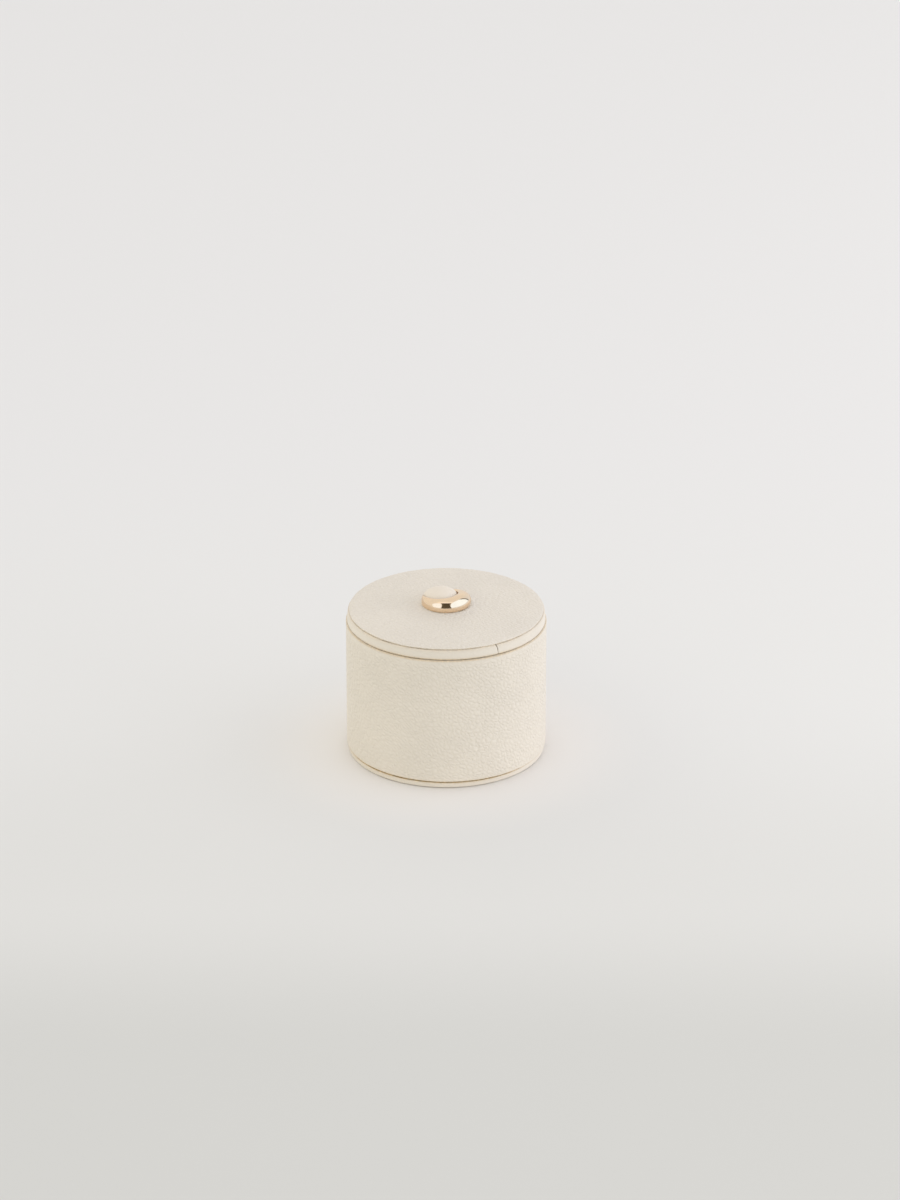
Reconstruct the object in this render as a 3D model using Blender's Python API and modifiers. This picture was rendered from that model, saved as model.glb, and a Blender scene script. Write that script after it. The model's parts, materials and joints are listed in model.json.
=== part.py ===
"""Round leather-covered jewelry case with a lift-off lid and a crescent knob.

Metres, +Z up. The origin is the middle of the underside, and the front faces -Y.
The case is a board tube wrapped in leather on a leather-edged base disc. Its lid is a padded
disc with a plug below, which drops into the mouth. Run it in Blender 4.5.
"""

import math

import bmesh
import bpy
from mathutils import Matrix, Vector

# Clearances
SEAT = 0.0003              # between a piece and what it rests on, fits in or is glued to
PARTING = 0.0004           # between the rim of the mouth and the lid
PLUG_CLEARANCE = 0.0006    # round the plug, so that the lid drops in freely
PLUG_RELIEF = 0.0008       # between the underside of the plug and the lining's fold
DOME_FIT = 0.0002          # round the dome in its crescent

# Base disc
BASE_INSET = 0.0005        # from the case's side in to the base disc's side
BASE_BOARD = 0.0014
BASE_LEATHER = 0.0007
BASE_TURN_UNDER = 0.0040   # width of the leather turned under the base board
BASE_ROUND_LOW = 0.0005
BASE_ROUND_TOP = 0.0003
PAD_PROUD = 0.0002         # how far the pad stands below the leather round it
BASE_GROOVE = 0.0006       # open line between the base disc and the wrap's lower edge

# Case wall
CASE_RADIUS = 0.0400
MOUTH_HEIGHT = 0.0559      # top of the rim above the floor
WRAP_LEATHER = 0.0009
TUBE_WALL = 0.0018
TURN_IN_LEATHER = 0.0007   # the wrap is skived where it is turned into the mouth
TURN_IN_DEPTH = 0.0100
RIM_ROUND = 0.0005
WRAP_LOWER_ROUND = 0.0003
BOTTOM_BOARD = 0.0020
CASE_SEAM = 0.0003         # open width of the wrap's butt seam
CASE_SEAM_AT = math.radians(90)

# Lining and padded floor
SLEEVE_WALL = 0.0006
LINING_SUEDE = 0.0007
LINING_ROUND = 0.0003
FLOOR_CARD = 0.0008
FLOOR_FOAM = 0.0025
FLOOR_CROWN = 0.0009
FLOOR_SUEDE = 0.0006
FLOOR_TURN_UNDER = 0.0050
FLOOR_ROUND = 0.0016

# Lid
BAND_INSET = 0.00045       # from the case's side in to the lid band's side
BAND_LEATHER = 0.0009
BAND_FLANGE = 0.0005       # skived leather turned under the lid board
BAND_PROUD = 0.0006        # how far the band stands above the lid board
BAND_ROUND = 0.0004
BAND_SEAM = 0.0003
BAND_SEAM_AT = math.radians(-59.6)
LID_BOARD = 0.0024
COVER_INSET = 0.00075      # from the lid band's side in to the top leather's edge
COVER_LEATHER = 0.0007
COVER_RIM = 0.00015        # upright edge of the top leather
COVER_SKIVE = 0.0009       # width of the leather where its thinned edge rests on the band
COVER_RISE = 0.00175       # from the rim up to the middle of the domed top
FOAM_EDGE = 0.0002         # the lid's padding thins to this at its edge
FOAM_INSET = 0.0012

# Plug
PLUG_ROOM = 0.0007         # below the knob's stud, in the plug board's hole
PLUG_SUEDE = 0.0007
PLUG_ROUND = 0.0006

# Knob
KNOB_RADIUS = 0.0099
KNOB_BORE = 0.0069         # radius of the round seat for the dome
KNOB_REACH = 0.0031        # from the knob's axis to the dome's
KNOB_RIM = 0.0003          # width of the plate's low rim, where the seat runs out of the crescent
KNOB_THIN_AT = math.radians(135)
KNOB_HEIGHT = 0.00565      # height that the crescent's crest nears as it widens
KNOB_PLATE = 0.0008        # floor of the dome's seat
KNOB_STEP = 0.0001         # height of the low rim above the plate
KNOB_TAPER = 0.0038        # width over which the crest climbs
DOME_HEIGHT = 0.0060       # top of the dome above the foot of the crescent
DOME_SIDE = 0.0011         # upright side of the dome
DOME_FULLNESS = 2.15       # superellipse power of the dome's section
STUD_RADIUS = 0.0015
STUD_TAIL = 0.0003         # stud beyond the nut
WASHER_RADIUS = 0.0035
WASHER_THICKNESS = 0.0005
NUT_ACROSS_FLATS = 0.0055
NUT_THICKNESS = 0.0018
NUT_CHAMFER = 0.0003
NUT_ROOM = 0.0008          # round the washer and nut in the plug board's hole

# Section of the crescent, as shares of its width or height there
CREST_IN = 0.28            # crest's distance from the bore, of the width
BORE_WALL = 0.88           # top of the bore's wall, of the crest's height above the plate
BELLY = 0.36               # height of the widest line, of the crest's height
FOOT_IN = 0.10             # how far the foot is drawn in, of the width
FLANK_POWER = 0.9          # under 1 makes the flank fuller than an ellipse

# Facets
OUTER_STEPS = 72
INNER_STEPS = 48
SMALL_STEPS = 24
KNOB_STEPS = 48
ARC_STEPS = 2
CROWN_STEPS = 4
LID_DOME_STEPS = 8
SHOULDER_STEPS = 3
FLANK_STEPS = 6
FOOT_STEPS = 3
DOME_STEPS = 8
MERGE = 0.00001
FILLET_SHARE = 0.95        # most of a run that a fillet may use up

# Heights, from the floor up
BASE_PAD = BASE_LEATHER + PAD_PROUD
BASE_BOARD_BOTTOM = BASE_PAD + SEAT
BASE_TOP = BASE_BOARD_BOTTOM + BASE_BOARD
TUBE_BOTTOM = BASE_TOP + SEAT
WRAP_BOTTOM = BASE_TOP + BASE_GROOVE
TUBE_TOP = MOUTH_HEIGHT - WRAP_LEATHER - SEAT
INNER_FLOOR = TUBE_BOTTOM + BOTTOM_BOARD
CUSHION_BOTTOM = INNER_FLOOR + SEAT
BAND_BOTTOM = MOUTH_HEIGHT + PARTING
LID_BOARD_BOTTOM = BAND_BOTTOM + BAND_FLANGE + SEAT
LID_BOARD_TOP = LID_BOARD_BOTTOM + LID_BOARD
BAND_TOP = LID_BOARD_TOP + BAND_PROUD
COVER_EDGE_BOTTOM = max(BAND_TOP, LID_BOARD_TOP + SEAT + FOAM_EDGE) + SEAT
COVER_TOP = COVER_EDGE_BOTTOM + COVER_RIM + COVER_RISE
WASHER_TOP = LID_BOARD_BOTTOM - SEAT
NUT_TOP = WASHER_TOP - WASHER_THICKNESS - SEAT
STUD_END = NUT_TOP - NUT_THICKNESS - STUD_TAIL
PLUG_TOP = LID_BOARD_BOTTOM - SEAT
PLUG_BOARD_BOTTOM = STUD_END - PLUG_ROOM
PLUG_BOTTOM = PLUG_BOARD_BOTTOM - SEAT - PLUG_SUEDE
LINING_TOP = PLUG_BOTTOM - PLUG_RELIEF
SLEEVE_TOP = LINING_TOP - LINING_SUEDE - SEAT
KNOB_BASE = COVER_TOP + SEAT

# Radii, from the outside in
BASE_RADIUS = CASE_RADIUS - BASE_INSET
BAND_RADIUS = CASE_RADIUS - BAND_INSET
COVER_RADIUS = BAND_RADIUS - COVER_INSET
TUBE_RADIUS = CASE_RADIUS - WRAP_LEATHER - SEAT
TUBE_BORE = TUBE_RADIUS - TUBE_WALL
MOUTH_RADIUS = TUBE_BORE - SEAT - TURN_IN_LEATHER
SLEEVE_RADIUS = MOUTH_RADIUS - SEAT
SLEEVE_BORE = SLEEVE_RADIUS - SLEEVE_WALL
LINING_RADIUS = SLEEVE_BORE - SEAT
WELL_RADIUS = LINING_RADIUS - LINING_SUEDE
CUSHION_RADIUS = WELL_RADIUS - SEAT
BASE_TURN_UNDER_RADIUS = BASE_RADIUS - BASE_LEATHER - BASE_TURN_UNDER
PLUG_RADIUS = MOUTH_RADIUS - PLUG_CLEARANCE
BAND_BORE = PLUG_RADIUS + SEAT
STUD_HOLE = STUD_RADIUS + SEAT
NUT_RADIUS = NUT_ACROSS_FLATS / 2 / math.cos(math.pi / 6)
NUT_HOLE = max(WASHER_RADIUS, NUT_RADIUS) + NUT_ROOM

# Colours, roughness and metallic value of each material
LEATHER = ("cream_leather", (0.80, 0.74, 0.65), 0.55, 0.0)
SUEDE = ("beige_suede", (0.62, 0.54, 0.44), 0.95, 0.0)
BOARD = ("grey_board", (0.45, 0.42, 0.38), 0.9, 0.0)
FOAM = ("white_foam", (0.82, 0.80, 0.75), 1.0, 0.0)
GOLD = ("pale_gold", (0.90, 0.69, 0.46), 0.1, 1.0)
CABOCHON = ("cream_cabochon", (0.86, 0.80, 0.71), 0.3, 0.0)
STEEL = ("zinc_steel", (0.62, 0.62, 0.62), 0.35, 1.0)


def new_collection(name):
    collection = bpy.data.collections.new(name)
    bpy.context.scene.collection.children.link(collection)
    return collection


def material(finish):
    name, colour, roughness, metallic = finish
    found = bpy.data.materials.get(name)
    if found:
        return found
    made = bpy.data.materials.new(name)
    made.use_nodes = True
    shader = made.node_tree.nodes["Principled BSDF"]
    shader.inputs["Base Color"].default_value = (*colour, 1.0)
    shader.inputs["Roughness"].default_value = roughness
    shader.inputs["Metallic"].default_value = metallic
    return made


def mesh_object(name, builder, finish, collection):
    """An object from a bmesh, with its material, in a collection."""
    mesh = bpy.data.meshes.new(name)
    builder.to_mesh(mesh)
    builder.free()
    made = bpy.data.objects.new(name, mesh)
    collection.objects.link(made)
    if finish:
        mesh.materials.append(material(finish))
    return made


def rounded(corners, closed=False):
    """Points of a profile given as (radius, height, fillet), with an arc at each filleted corner.

    A fillet is no larger than the shorter run beside it allows.
    """
    count = len(corners)
    points = []
    for i, (x, z, fillet) in enumerate(corners):
        here = Vector((x, z))
        if fillet <= 0 or (not closed and i in (0, count - 1)):
            points.append(here)
            continue
        neighbours = (corners[i - 1], corners[(i + 1) % count])
        runs = [Vector(near[:2]) - here for near in neighbours]
        free = [run.length * (0.5 if near[2] else 1.0) for run, near in zip(runs, neighbours)]
        back, ahead = (run.normalized() for run in runs)
        half = back.angle(ahead) / 2
        fillet = min(fillet, FILLET_SHARE * min(free) * math.tan(half))
        centre = here + (back + ahead).normalized() * fillet / math.sin(half)
        start = here + back * fillet / math.tan(half) - centre
        end = here + ahead * fillet / math.tan(half) - centre
        first = math.atan2(start.y, start.x)
        sweep = (math.atan2(end.y, end.x) - first + math.pi) % math.tau - math.pi
        for step in range(ARC_STEPS + 1):
            turn = first + sweep * step / ARC_STEPS
            points.append(centre + Vector((math.cos(turn), math.sin(turn))) * fillet)
    return points


def turned(name, points, steps, finish, collection, closed=False):
    """A turned piece: a profile that runs down its outer side, with a Screw modifier about Z."""
    builder = bmesh.new()
    verts = [builder.verts.new((x, 0.0, z)) for x, z in points]
    for a, b in zip(verts, verts[1:]):
        builder.edges.new((a, b))
    if closed:
        builder.edges.new((verts[-1], verts[0]))
    made = mesh_object(name, builder, finish, collection)
    screw = made.modifiers.new("Turn", "SCREW")
    screw.axis = "Z"
    screw.angle = math.tau
    screw.steps = steps
    screw.render_steps = steps
    screw.use_merge_vertices = True
    screw.merge_threshold = MERGE
    return made


def disc(name, radius, bottom, top, steps, finish, collection, hole=0.0):
    """A flat disc, or a flat ring where it has a hole."""
    if hole:
        corners = [(hole, top), (radius, top), (radius, bottom), (hole, bottom)]
        return turned(name, corners, steps, finish, collection, closed=True)
    corners = [(0.0, top), (radius, top), (radius, bottom), (0.0, bottom)]
    return turned(name, corners, steps, finish, collection)


def cut(target, cutter, operation="DIFFERENCE"):
    change = target.modifiers.new(cutter.name, "BOOLEAN")
    change.operation = operation
    change.solver = "EXACT"
    change.object = cutter


def hide_cutter(cutter):
    cutter.hide_render = True
    cutter.display_type = "WIRE"


def seam_cutter(name, azimuth, inner, outer, width, bottom, top, cutters):
    """A thin upright plate that opens a butt seam in a leather strip."""
    builder = bmesh.new()
    bmesh.ops.create_cube(builder, size=1.0)
    bmesh.ops.scale(builder, vec=(outer - inner, width, top - bottom), verts=builder.verts)
    middle = Matrix.Translation(((outer + inner) / 2, 0.0, (top + bottom) / 2))
    bmesh.ops.transform(builder, matrix=Matrix.Rotation(azimuth, 4, "Z") @ middle, verts=builder.verts)
    cutter = mesh_object(name, builder, None, cutters)
    hide_cutter(cutter)
    return cutter


def crowned_run(start, end, full_radius, base, height):
    """Corners of a padded disc's domed face between two radii; it meets base at full_radius."""
    radii = [start + (end - start) * i / CROWN_STEPS for i in range(CROWN_STEPS + 1)]
    return [(r, base + height * (1 - (r / full_radius) ** 2), 0.0) for r in radii]


def domed_run(radius, rim, rise, hole):
    """Corners of a half ellipse from its edge, at the rim, up to a hole in the middle."""
    first = math.asin(hole / radius)
    sweep = first - math.pi / 2
    turns = [math.pi / 2 + sweep * step / LID_DOME_STEPS for step in range(LID_DOME_STEPS + 1)]
    return [(radius * math.sin(turn), rim + rise * math.cos(turn), 0.0) for turn in turns]


def make_base(parts):
    disc("base_pad", BASE_TURN_UNDER_RADIUS - SEAT, 0.0, BASE_PAD, INNER_STEPS, SUEDE, parts)
    board_radius = BASE_RADIUS - BASE_LEATHER - SEAT
    disc("base_board", board_radius, BASE_BOARD_BOTTOM, BASE_TOP, INNER_STEPS, BOARD, parts)
    side = BASE_RADIUS - BASE_LEATHER
    corners = [
        (BASE_RADIUS, BASE_TOP, BASE_ROUND_TOP),
        (BASE_RADIUS, BASE_PAD - BASE_LEATHER, BASE_ROUND_LOW),
        (BASE_TURN_UNDER_RADIUS, BASE_PAD - BASE_LEATHER, 0.0),
        (BASE_TURN_UNDER_RADIUS, BASE_PAD, 0.0),
        (side, BASE_PAD, 0.0),
        (side, BASE_TOP, 0.0),
    ]
    turned("base_cover", rounded(corners, closed=True), OUTER_STEPS, LEATHER, parts, closed=True)


def make_wall(parts, cutters):
    disc("body_tube", TUBE_RADIUS, TUBE_BOTTOM, TUBE_TOP, OUTER_STEPS, BOARD, parts, hole=TUBE_BORE)
    disc("bottom_board", TUBE_BORE - SEAT, TUBE_BOTTOM, INNER_FLOOR, INNER_STEPS, BOARD, parts)
    turn_in_end = MOUTH_HEIGHT - TURN_IN_DEPTH
    inner_side = CASE_RADIUS - WRAP_LEATHER
    turn_in_back = MOUTH_RADIUS + TURN_IN_LEATHER
    corners = [
        (CASE_RADIUS, MOUTH_HEIGHT, RIM_ROUND),
        (CASE_RADIUS, WRAP_BOTTOM, WRAP_LOWER_ROUND),
        (inner_side, WRAP_BOTTOM, 0.0),
        (inner_side, MOUTH_HEIGHT - WRAP_LEATHER, 0.0),
        (turn_in_back, MOUTH_HEIGHT - WRAP_LEATHER, 0.0),
        (turn_in_back, turn_in_end, 0.0),
        (MOUTH_RADIUS, turn_in_end, 0.0),
        (MOUTH_RADIUS, MOUTH_HEIGHT, RIM_ROUND),
    ]
    wrap = turned("body_wrap", rounded(corners, closed=True), OUTER_STEPS, LEATHER, parts, closed=True)
    past = WRAP_LEATHER
    seam = seam_cutter("case_seam_cutter", CASE_SEAM_AT, MOUTH_RADIUS - past, CASE_RADIUS + past,
                       CASE_SEAM, WRAP_BOTTOM - past, MOUTH_HEIGHT + past, cutters)
    cut(wrap, seam)


def make_lining(parts):
    disc("lining_sleeve", SLEEVE_RADIUS, CUSHION_BOTTOM, SLEEVE_TOP, INNER_STEPS, BOARD, parts,
         hole=SLEEVE_BORE)
    corners = [
        (SLEEVE_RADIUS, LINING_TOP, LINING_ROUND),
        (SLEEVE_RADIUS, LINING_TOP - LINING_SUEDE, 0.0),
        (LINING_RADIUS, LINING_TOP - LINING_SUEDE, 0.0),
        (LINING_RADIUS, CUSHION_BOTTOM, 0.0),
        (WELL_RADIUS, CUSHION_BOTTOM, 0.0),
        (WELL_RADIUS, LINING_TOP, LINING_ROUND),
    ]
    turned("body_lining", rounded(corners, closed=True), INNER_STEPS, SUEDE, parts, closed=True)


def make_floor(parts):
    """The padded floor: card, crowned foam, and suede over both, turned under the card."""
    card_bottom = CUSHION_BOTTOM + FLOOR_SUEDE + SEAT
    card_top = card_bottom + FLOOR_CARD
    foam_bottom = card_top + SEAT
    foam_edge = foam_bottom + FLOOR_FOAM
    core_radius = CUSHION_RADIUS - FLOOR_SUEDE - SEAT
    core_round = max(FLOOR_ROUND - FLOOR_SUEDE - SEAT, 0.0)
    disc("floor_card", core_radius, card_bottom, card_top, INNER_STEPS, BOARD, parts)
    flat = core_radius - core_round
    top = crowned_run(0.0, flat, flat, foam_edge, FLOOR_CROWN)[:-1]
    side = [(core_radius, foam_edge, core_round), (core_radius, foam_bottom, 0.0), (0.0, foam_bottom, 0.0)]
    turned("floor_foam", rounded(top + side), INNER_STEPS, FOAM, parts)

    inner_edge = foam_edge + SEAT
    outer_edge = inner_edge + FLOOR_SUEDE
    inner_radius = CUSHION_RADIUS - FLOOR_SUEDE
    turn_under = CUSHION_RADIUS - FLOOR_TURN_UNDER
    outer = crowned_run(0.0, flat, flat, outer_edge, FLOOR_CROWN)[:-1]
    inner = crowned_run(0.0, flat, flat, inner_edge, FLOOR_CROWN)[:-1]
    shell = [
        (CUSHION_RADIUS, outer_edge, FLOOR_ROUND),
        (CUSHION_RADIUS, CUSHION_BOTTOM, FLOOR_SUEDE),
        (turn_under, CUSHION_BOTTOM, 0.0),
        (turn_under, CUSHION_BOTTOM + FLOOR_SUEDE, 0.0),
        (inner_radius, CUSHION_BOTTOM + FLOOR_SUEDE, 0.0),
        (inner_radius, inner_edge, FLOOR_ROUND - FLOOR_SUEDE),
    ]
    turned("floor_cover", rounded(outer + shell + inner[::-1]), INNER_STEPS, SUEDE, parts)


def make_lid(parts, cutters):
    board_radius = BAND_RADIUS - BAND_LEATHER - SEAT
    disc("lid_board", board_radius, LID_BOARD_BOTTOM, LID_BOARD_TOP, INNER_STEPS, BOARD, parts,
         hole=STUD_HOLE)

    side = BAND_RADIUS - BAND_LEATHER
    corners = [
        (BAND_RADIUS, BAND_TOP, BAND_ROUND),
        (BAND_RADIUS, BAND_BOTTOM, BAND_ROUND),
        (BAND_BORE, BAND_BOTTOM, 0.0),
        (BAND_BORE, BAND_BOTTOM + BAND_FLANGE, 0.0),
        (side, BAND_BOTTOM + BAND_FLANGE, 0.0),
        (side, BAND_TOP, 0.0),
    ]
    band = turned("lid_band", rounded(corners, closed=True), OUTER_STEPS, LEATHER, parts, closed=True)
    past = BAND_LEATHER
    seam = seam_cutter("band_seam_cutter", BAND_SEAM_AT, BAND_BORE - past, BAND_RADIUS + past,
                       BAND_SEAM, BAND_BOTTOM - past, BAND_TOP + past, cutters)
    cut(band, seam)

    inner_rise = COVER_TOP - COVER_LEATHER - COVER_EDGE_BOTTOM
    outer = domed_run(COVER_RADIUS, COVER_EDGE_BOTTOM + COVER_RIM, COVER_RISE, STUD_HOLE)
    inner = domed_run(COVER_RADIUS - COVER_SKIVE, COVER_EDGE_BOTTOM, inner_rise, STUD_HOLE)
    under = [(COVER_RADIUS, COVER_EDGE_BOTTOM, 0.0)]
    turned("lid_cover", rounded(outer[::-1] + under + inner, closed=True), OUTER_STEPS, LEATHER, parts,
           closed=True)

    foam_radius = min(side, COVER_RADIUS) - FOAM_INSET
    foam_bottom = LID_BOARD_TOP + SEAT
    padding = domed_run(foam_radius, COVER_EDGE_BOTTOM - SEAT, inner_rise, STUD_HOLE)
    under = [(foam_radius, foam_bottom, 0.0), (STUD_HOLE, foam_bottom, 0.0)]
    turned("lid_foam", rounded(padding[::-1] + under, closed=True), INNER_STEPS, FOAM, parts, closed=True)


def make_plug(parts):
    board_radius = PLUG_RADIUS - PLUG_SUEDE - SEAT
    disc("plug_board", board_radius, PLUG_BOARD_BOTTOM, PLUG_TOP, INNER_STEPS, BOARD, parts,
         hole=NUT_HOLE)
    inner_radius = PLUG_RADIUS - PLUG_SUEDE
    inner_floor = PLUG_BOTTOM + PLUG_SUEDE
    corners = [
        (0.0, inner_floor, 0.0),
        (inner_radius, inner_floor, 0.0),
        (inner_radius, PLUG_TOP, 0.0),
        (PLUG_RADIUS, PLUG_TOP, 0.0),
        (PLUG_RADIUS, PLUG_BOTTOM, PLUG_ROUND),
        (0.0, PLUG_BOTTOM, 0.0),
    ]
    turned("plug_cover", rounded(corners), INNER_STEPS, SUEDE, parts)


def knob_offset():
    """Place of the dome's centre, which opens the crescent on one side."""
    return Vector((math.cos(KNOB_THIN_AT), math.sin(KNOB_THIN_AT))) * KNOB_REACH


def quarter(steps, skip_first=False):
    """Angles of a quarter turn, from 0."""
    return [math.pi / 2 * step / steps for step in range(int(skip_first), steps + 1)]


def crescent_section(azimuth):
    """One section of the crescent as (distance from the knob's axis, height), from the seat to the foot."""
    off_thin = azimuth - KNOB_THIN_AT
    across = KNOB_REACH * math.sin(off_thin)
    seat = KNOB_REACH * math.cos(off_thin) + math.sqrt(KNOB_BORE ** 2 - across ** 2)
    low_crest = KNOB_PLATE + KNOB_STEP
    climb = 1 - math.exp(-max(KNOB_RADIUS - seat, 0.0) / KNOB_TAPER)
    crest = low_crest + (KNOB_HEIGHT - low_crest) * climb
    inner = min(seat, KNOB_RADIUS - KNOB_RIM)
    width = KNOB_RADIUS - inner
    wall_top = KNOB_PLATE + BORE_WALL * (crest - KNOB_PLATE)
    belly = BELLY * crest
    crest_at = inner + CREST_IN * width

    points = [(inner, KNOB_PLATE)]
    for turn in quarter(SHOULDER_STEPS)[:-1]:
        up = (crest - wall_top) * math.sin(turn)
        points.append((crest_at - CREST_IN * width * math.cos(turn), wall_top + up))
    for turn in quarter(FLANK_STEPS):
        along = math.sin(turn) ** FLANK_POWER
        up = max(math.cos(turn), 0.0) ** FLANK_POWER
        points.append((crest_at + (KNOB_RADIUS - crest_at) * along, belly + (crest - belly) * up))
    for turn in quarter(FOOT_STEPS, skip_first=True):
        drawn_in = FOOT_IN * width * (1 - math.cos(turn))
        points.append((KNOB_RADIUS - drawn_in, belly * (1 - math.sin(turn))))
    return points


def make_knob(parts, cutters):
    """The crescent is a loft of sections round the knob's axis, closed by the seat plate and the foot."""
    builder = bmesh.new()
    rings = []
    for step in range(KNOB_STEPS):
        azimuth = math.tau * step / KNOB_STEPS
        x, y = math.cos(azimuth), math.sin(azimuth)
        rings.append([builder.verts.new((r * x, r * y, z)) for r, z in crescent_section(azimuth)])
    for ring, following in zip(rings, rings[1:] + rings[:1]):
        for low in range(len(ring) - 1):
            builder.faces.new((ring[low], ring[low + 1], following[low + 1], following[low]))
    builder.faces.new([ring[0] for ring in rings])
    builder.faces.new([ring[-1] for ring in reversed(rings)])
    for face in builder.faces:
        face.smooth = True
    ring = mesh_object("knob_ring", builder, GOLD, parts)
    ring.location = (0.0, 0.0, KNOB_BASE)

    stud_top = KNOB_PLATE / 2
    stud = [(0.0, stud_top), (STUD_RADIUS, stud_top), (STUD_RADIUS, STUD_END - KNOB_BASE),
            (0.0, STUD_END - KNOB_BASE)]
    stud = turned("stud_form", stud, SMALL_STEPS, GOLD, cutters)
    stud.location = ring.location
    hide_cutter(stud)
    cut(ring, stud, "UNION")

    dome_radius = KNOB_BORE - DOME_FIT
    dome_bottom = KNOB_PLATE + SEAT
    shoulder = dome_bottom + DOME_SIDE
    profile = []
    for turn in quarter(DOME_STEPS):
        along = math.sin(turn) ** (2 / DOME_FULLNESS)
        up = max(math.cos(turn), 0.0) ** (2 / DOME_FULLNESS)
        profile.append((dome_radius * along, shoulder + (DOME_HEIGHT - shoulder) * up))
    profile += [(dome_radius, dome_bottom), (0.0, dome_bottom)]
    dome = turned("knob_dome", profile, KNOB_STEPS, CABOCHON, parts)
    dome.location = (*knob_offset(), KNOB_BASE)

    disc("knob_washer", WASHER_RADIUS, WASHER_TOP - WASHER_THICKNESS, WASHER_TOP, SMALL_STEPS, STEEL, parts,
         hole=STUD_HOLE)
    make_nut(parts, cutters)


def make_nut(parts, cutters):
    middle = NUT_TOP - NUT_THICKNESS / 2
    builder = bmesh.new()
    bmesh.ops.create_cone(builder, cap_ends=True, segments=6, radius1=NUT_RADIUS, radius2=NUT_RADIUS,
                          depth=NUT_THICKNESS)
    nut = mesh_object("knob_nut", builder, STEEL, parts)
    nut.location = (0.0, 0.0, middle)
    chamfer = nut.modifiers.new("Chamfer", "BEVEL")
    chamfer.width = NUT_CHAMFER
    chamfer.segments = 1
    bore = bmesh.new()
    bmesh.ops.create_cone(bore, cap_ends=True, segments=SMALL_STEPS, radius1=STUD_HOLE, radius2=STUD_HOLE,
                          depth=NUT_THICKNESS * 2)
    cutter = mesh_object("nut_bore_cutter", bore, None, cutters)
    cutter.location = nut.location
    hide_cutter(cutter)
    cut(nut, cutter)


def build():
    for old in list(bpy.data.objects):
        bpy.data.objects.remove(old)
    parts = new_collection("jewelry_case")
    cutters = new_collection("cutters")
    make_base(parts)
    make_wall(parts, cutters)
    make_lining(parts)
    make_floor(parts)
    make_lid(parts, cutters)
    make_plug(parts)
    make_knob(parts, cutters)


build()
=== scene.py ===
"""Looks of the round jewelry case: pebble-grain leather, suede, a gold crescent knob and its cream dome.

Pieces are worked out in mm, turned about the case's axis, and dressed with procedural materials. The studio
is pale, with a soft window at the right.
"""

import json
import math
from collections import namedtuple

import bpy
import numpy as np
from mathutils import Matrix, Vector

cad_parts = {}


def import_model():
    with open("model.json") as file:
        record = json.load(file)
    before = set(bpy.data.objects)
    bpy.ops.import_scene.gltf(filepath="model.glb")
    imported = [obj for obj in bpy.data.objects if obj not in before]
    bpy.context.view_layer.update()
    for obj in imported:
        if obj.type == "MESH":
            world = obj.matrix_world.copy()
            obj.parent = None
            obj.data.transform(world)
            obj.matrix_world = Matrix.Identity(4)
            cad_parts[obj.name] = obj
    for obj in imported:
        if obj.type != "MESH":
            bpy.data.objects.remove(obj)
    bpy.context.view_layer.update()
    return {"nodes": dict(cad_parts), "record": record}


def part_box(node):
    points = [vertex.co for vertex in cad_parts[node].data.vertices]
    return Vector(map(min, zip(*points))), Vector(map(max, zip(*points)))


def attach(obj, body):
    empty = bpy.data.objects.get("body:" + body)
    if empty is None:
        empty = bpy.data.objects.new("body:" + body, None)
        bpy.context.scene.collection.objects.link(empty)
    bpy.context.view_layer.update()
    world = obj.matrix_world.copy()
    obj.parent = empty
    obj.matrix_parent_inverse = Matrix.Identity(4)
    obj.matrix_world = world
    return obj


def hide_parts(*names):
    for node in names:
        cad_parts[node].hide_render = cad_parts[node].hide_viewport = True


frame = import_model()

MM = 0.001

# Leather, in mm
WRAP_LEATHER = 0.9
TURN_IN_LEATHER = 0.7
TURN_IN_DEPTH = 10.0
MOUTH_RADIUS = 36.0
FOOT_DROP = 0.42  # the leather reaches this far below its solid, towards the base
FOOT_OPEN = 0.23  # and this much less where the foot's seam shows
BASE_LEATHER = 0.7
BASE_TURN_UNDER = 4.0
BAND_LEATHER = 0.9
BAND_FLANGE = 0.5
BAND_LEAN = 0.3  # the band leans in by this much at its top
BAND_ROUND = 1.2
BAND_BORE = 35.7
COVER_RIM = 0.15  # the lid's leather is this thick at its edge
COVER_DROOP = 0.2  # the edge of the lid's leather settles this far onto the band
COVER_SKIVE = 0.9  # width of its thinned edge
STUD_HOLE = 1.8

# Suede and padding, in mm
SUEDE = 0.7
FLOOR_SUEDE = 0.6
FLOOR_CROWN = 0.9
FLOOR_SWELL = 0.5  # how much of the crown comes from the cloth's swelling
FLOOR_ROUND = 1.6
FLOOR_TURN_UNDER = 5.0
PUCKER_ROOM = 0.25  # the padding stays this much lower, under the cushion's puckers
PADDING_ROUND = 0.8
PADDING_RIM = 0.3  # the lid's padding is this thick at its edge
LINING_FOLD = 35.7  # radius that the lining is folded out to
GLUE_LINE = 0.3

# Unevenness of handwork, in mm
WALL_WAVE = 0.04  # the leather's waves over the tube
SIDE_WAVE = 0.02  # and over the low edges of the base and the lid
EDGE_WAVE = 0.03  # cut and folded edges
FOOT_WAVE = 0.06
FOOT_FADE = 4.0  # height above the foot over which its wave dies out
RIM_FADE = 3.0  # and the same below the rim of the mouth
TURN_IN_PUCKER = 0.06
TURN_IN_FADE = 4.0
BASE_PLEAT = 0.16
BASE_FADE = 1.4
BAND_PLEAT = 0.07
BAND_WAVE = 0.04
BAND_FOLD = 1.6  # height of the band's lower part, and of the change to its upper one
BAND_REACH = 0.20  # the band's fold reaches this far below its solid, towards the case
BAND_DIP_DEPTH = 0.05
LOW_RIGHT_DEPTH = 0.07
LOW_LEFT_DEPTH = 0.05
COVER_WAVE = 0.05
COVER_EDGE_WAVE = 0.06
COVER_FADE = 2.5  # width of the cover's wavy edge
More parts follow.
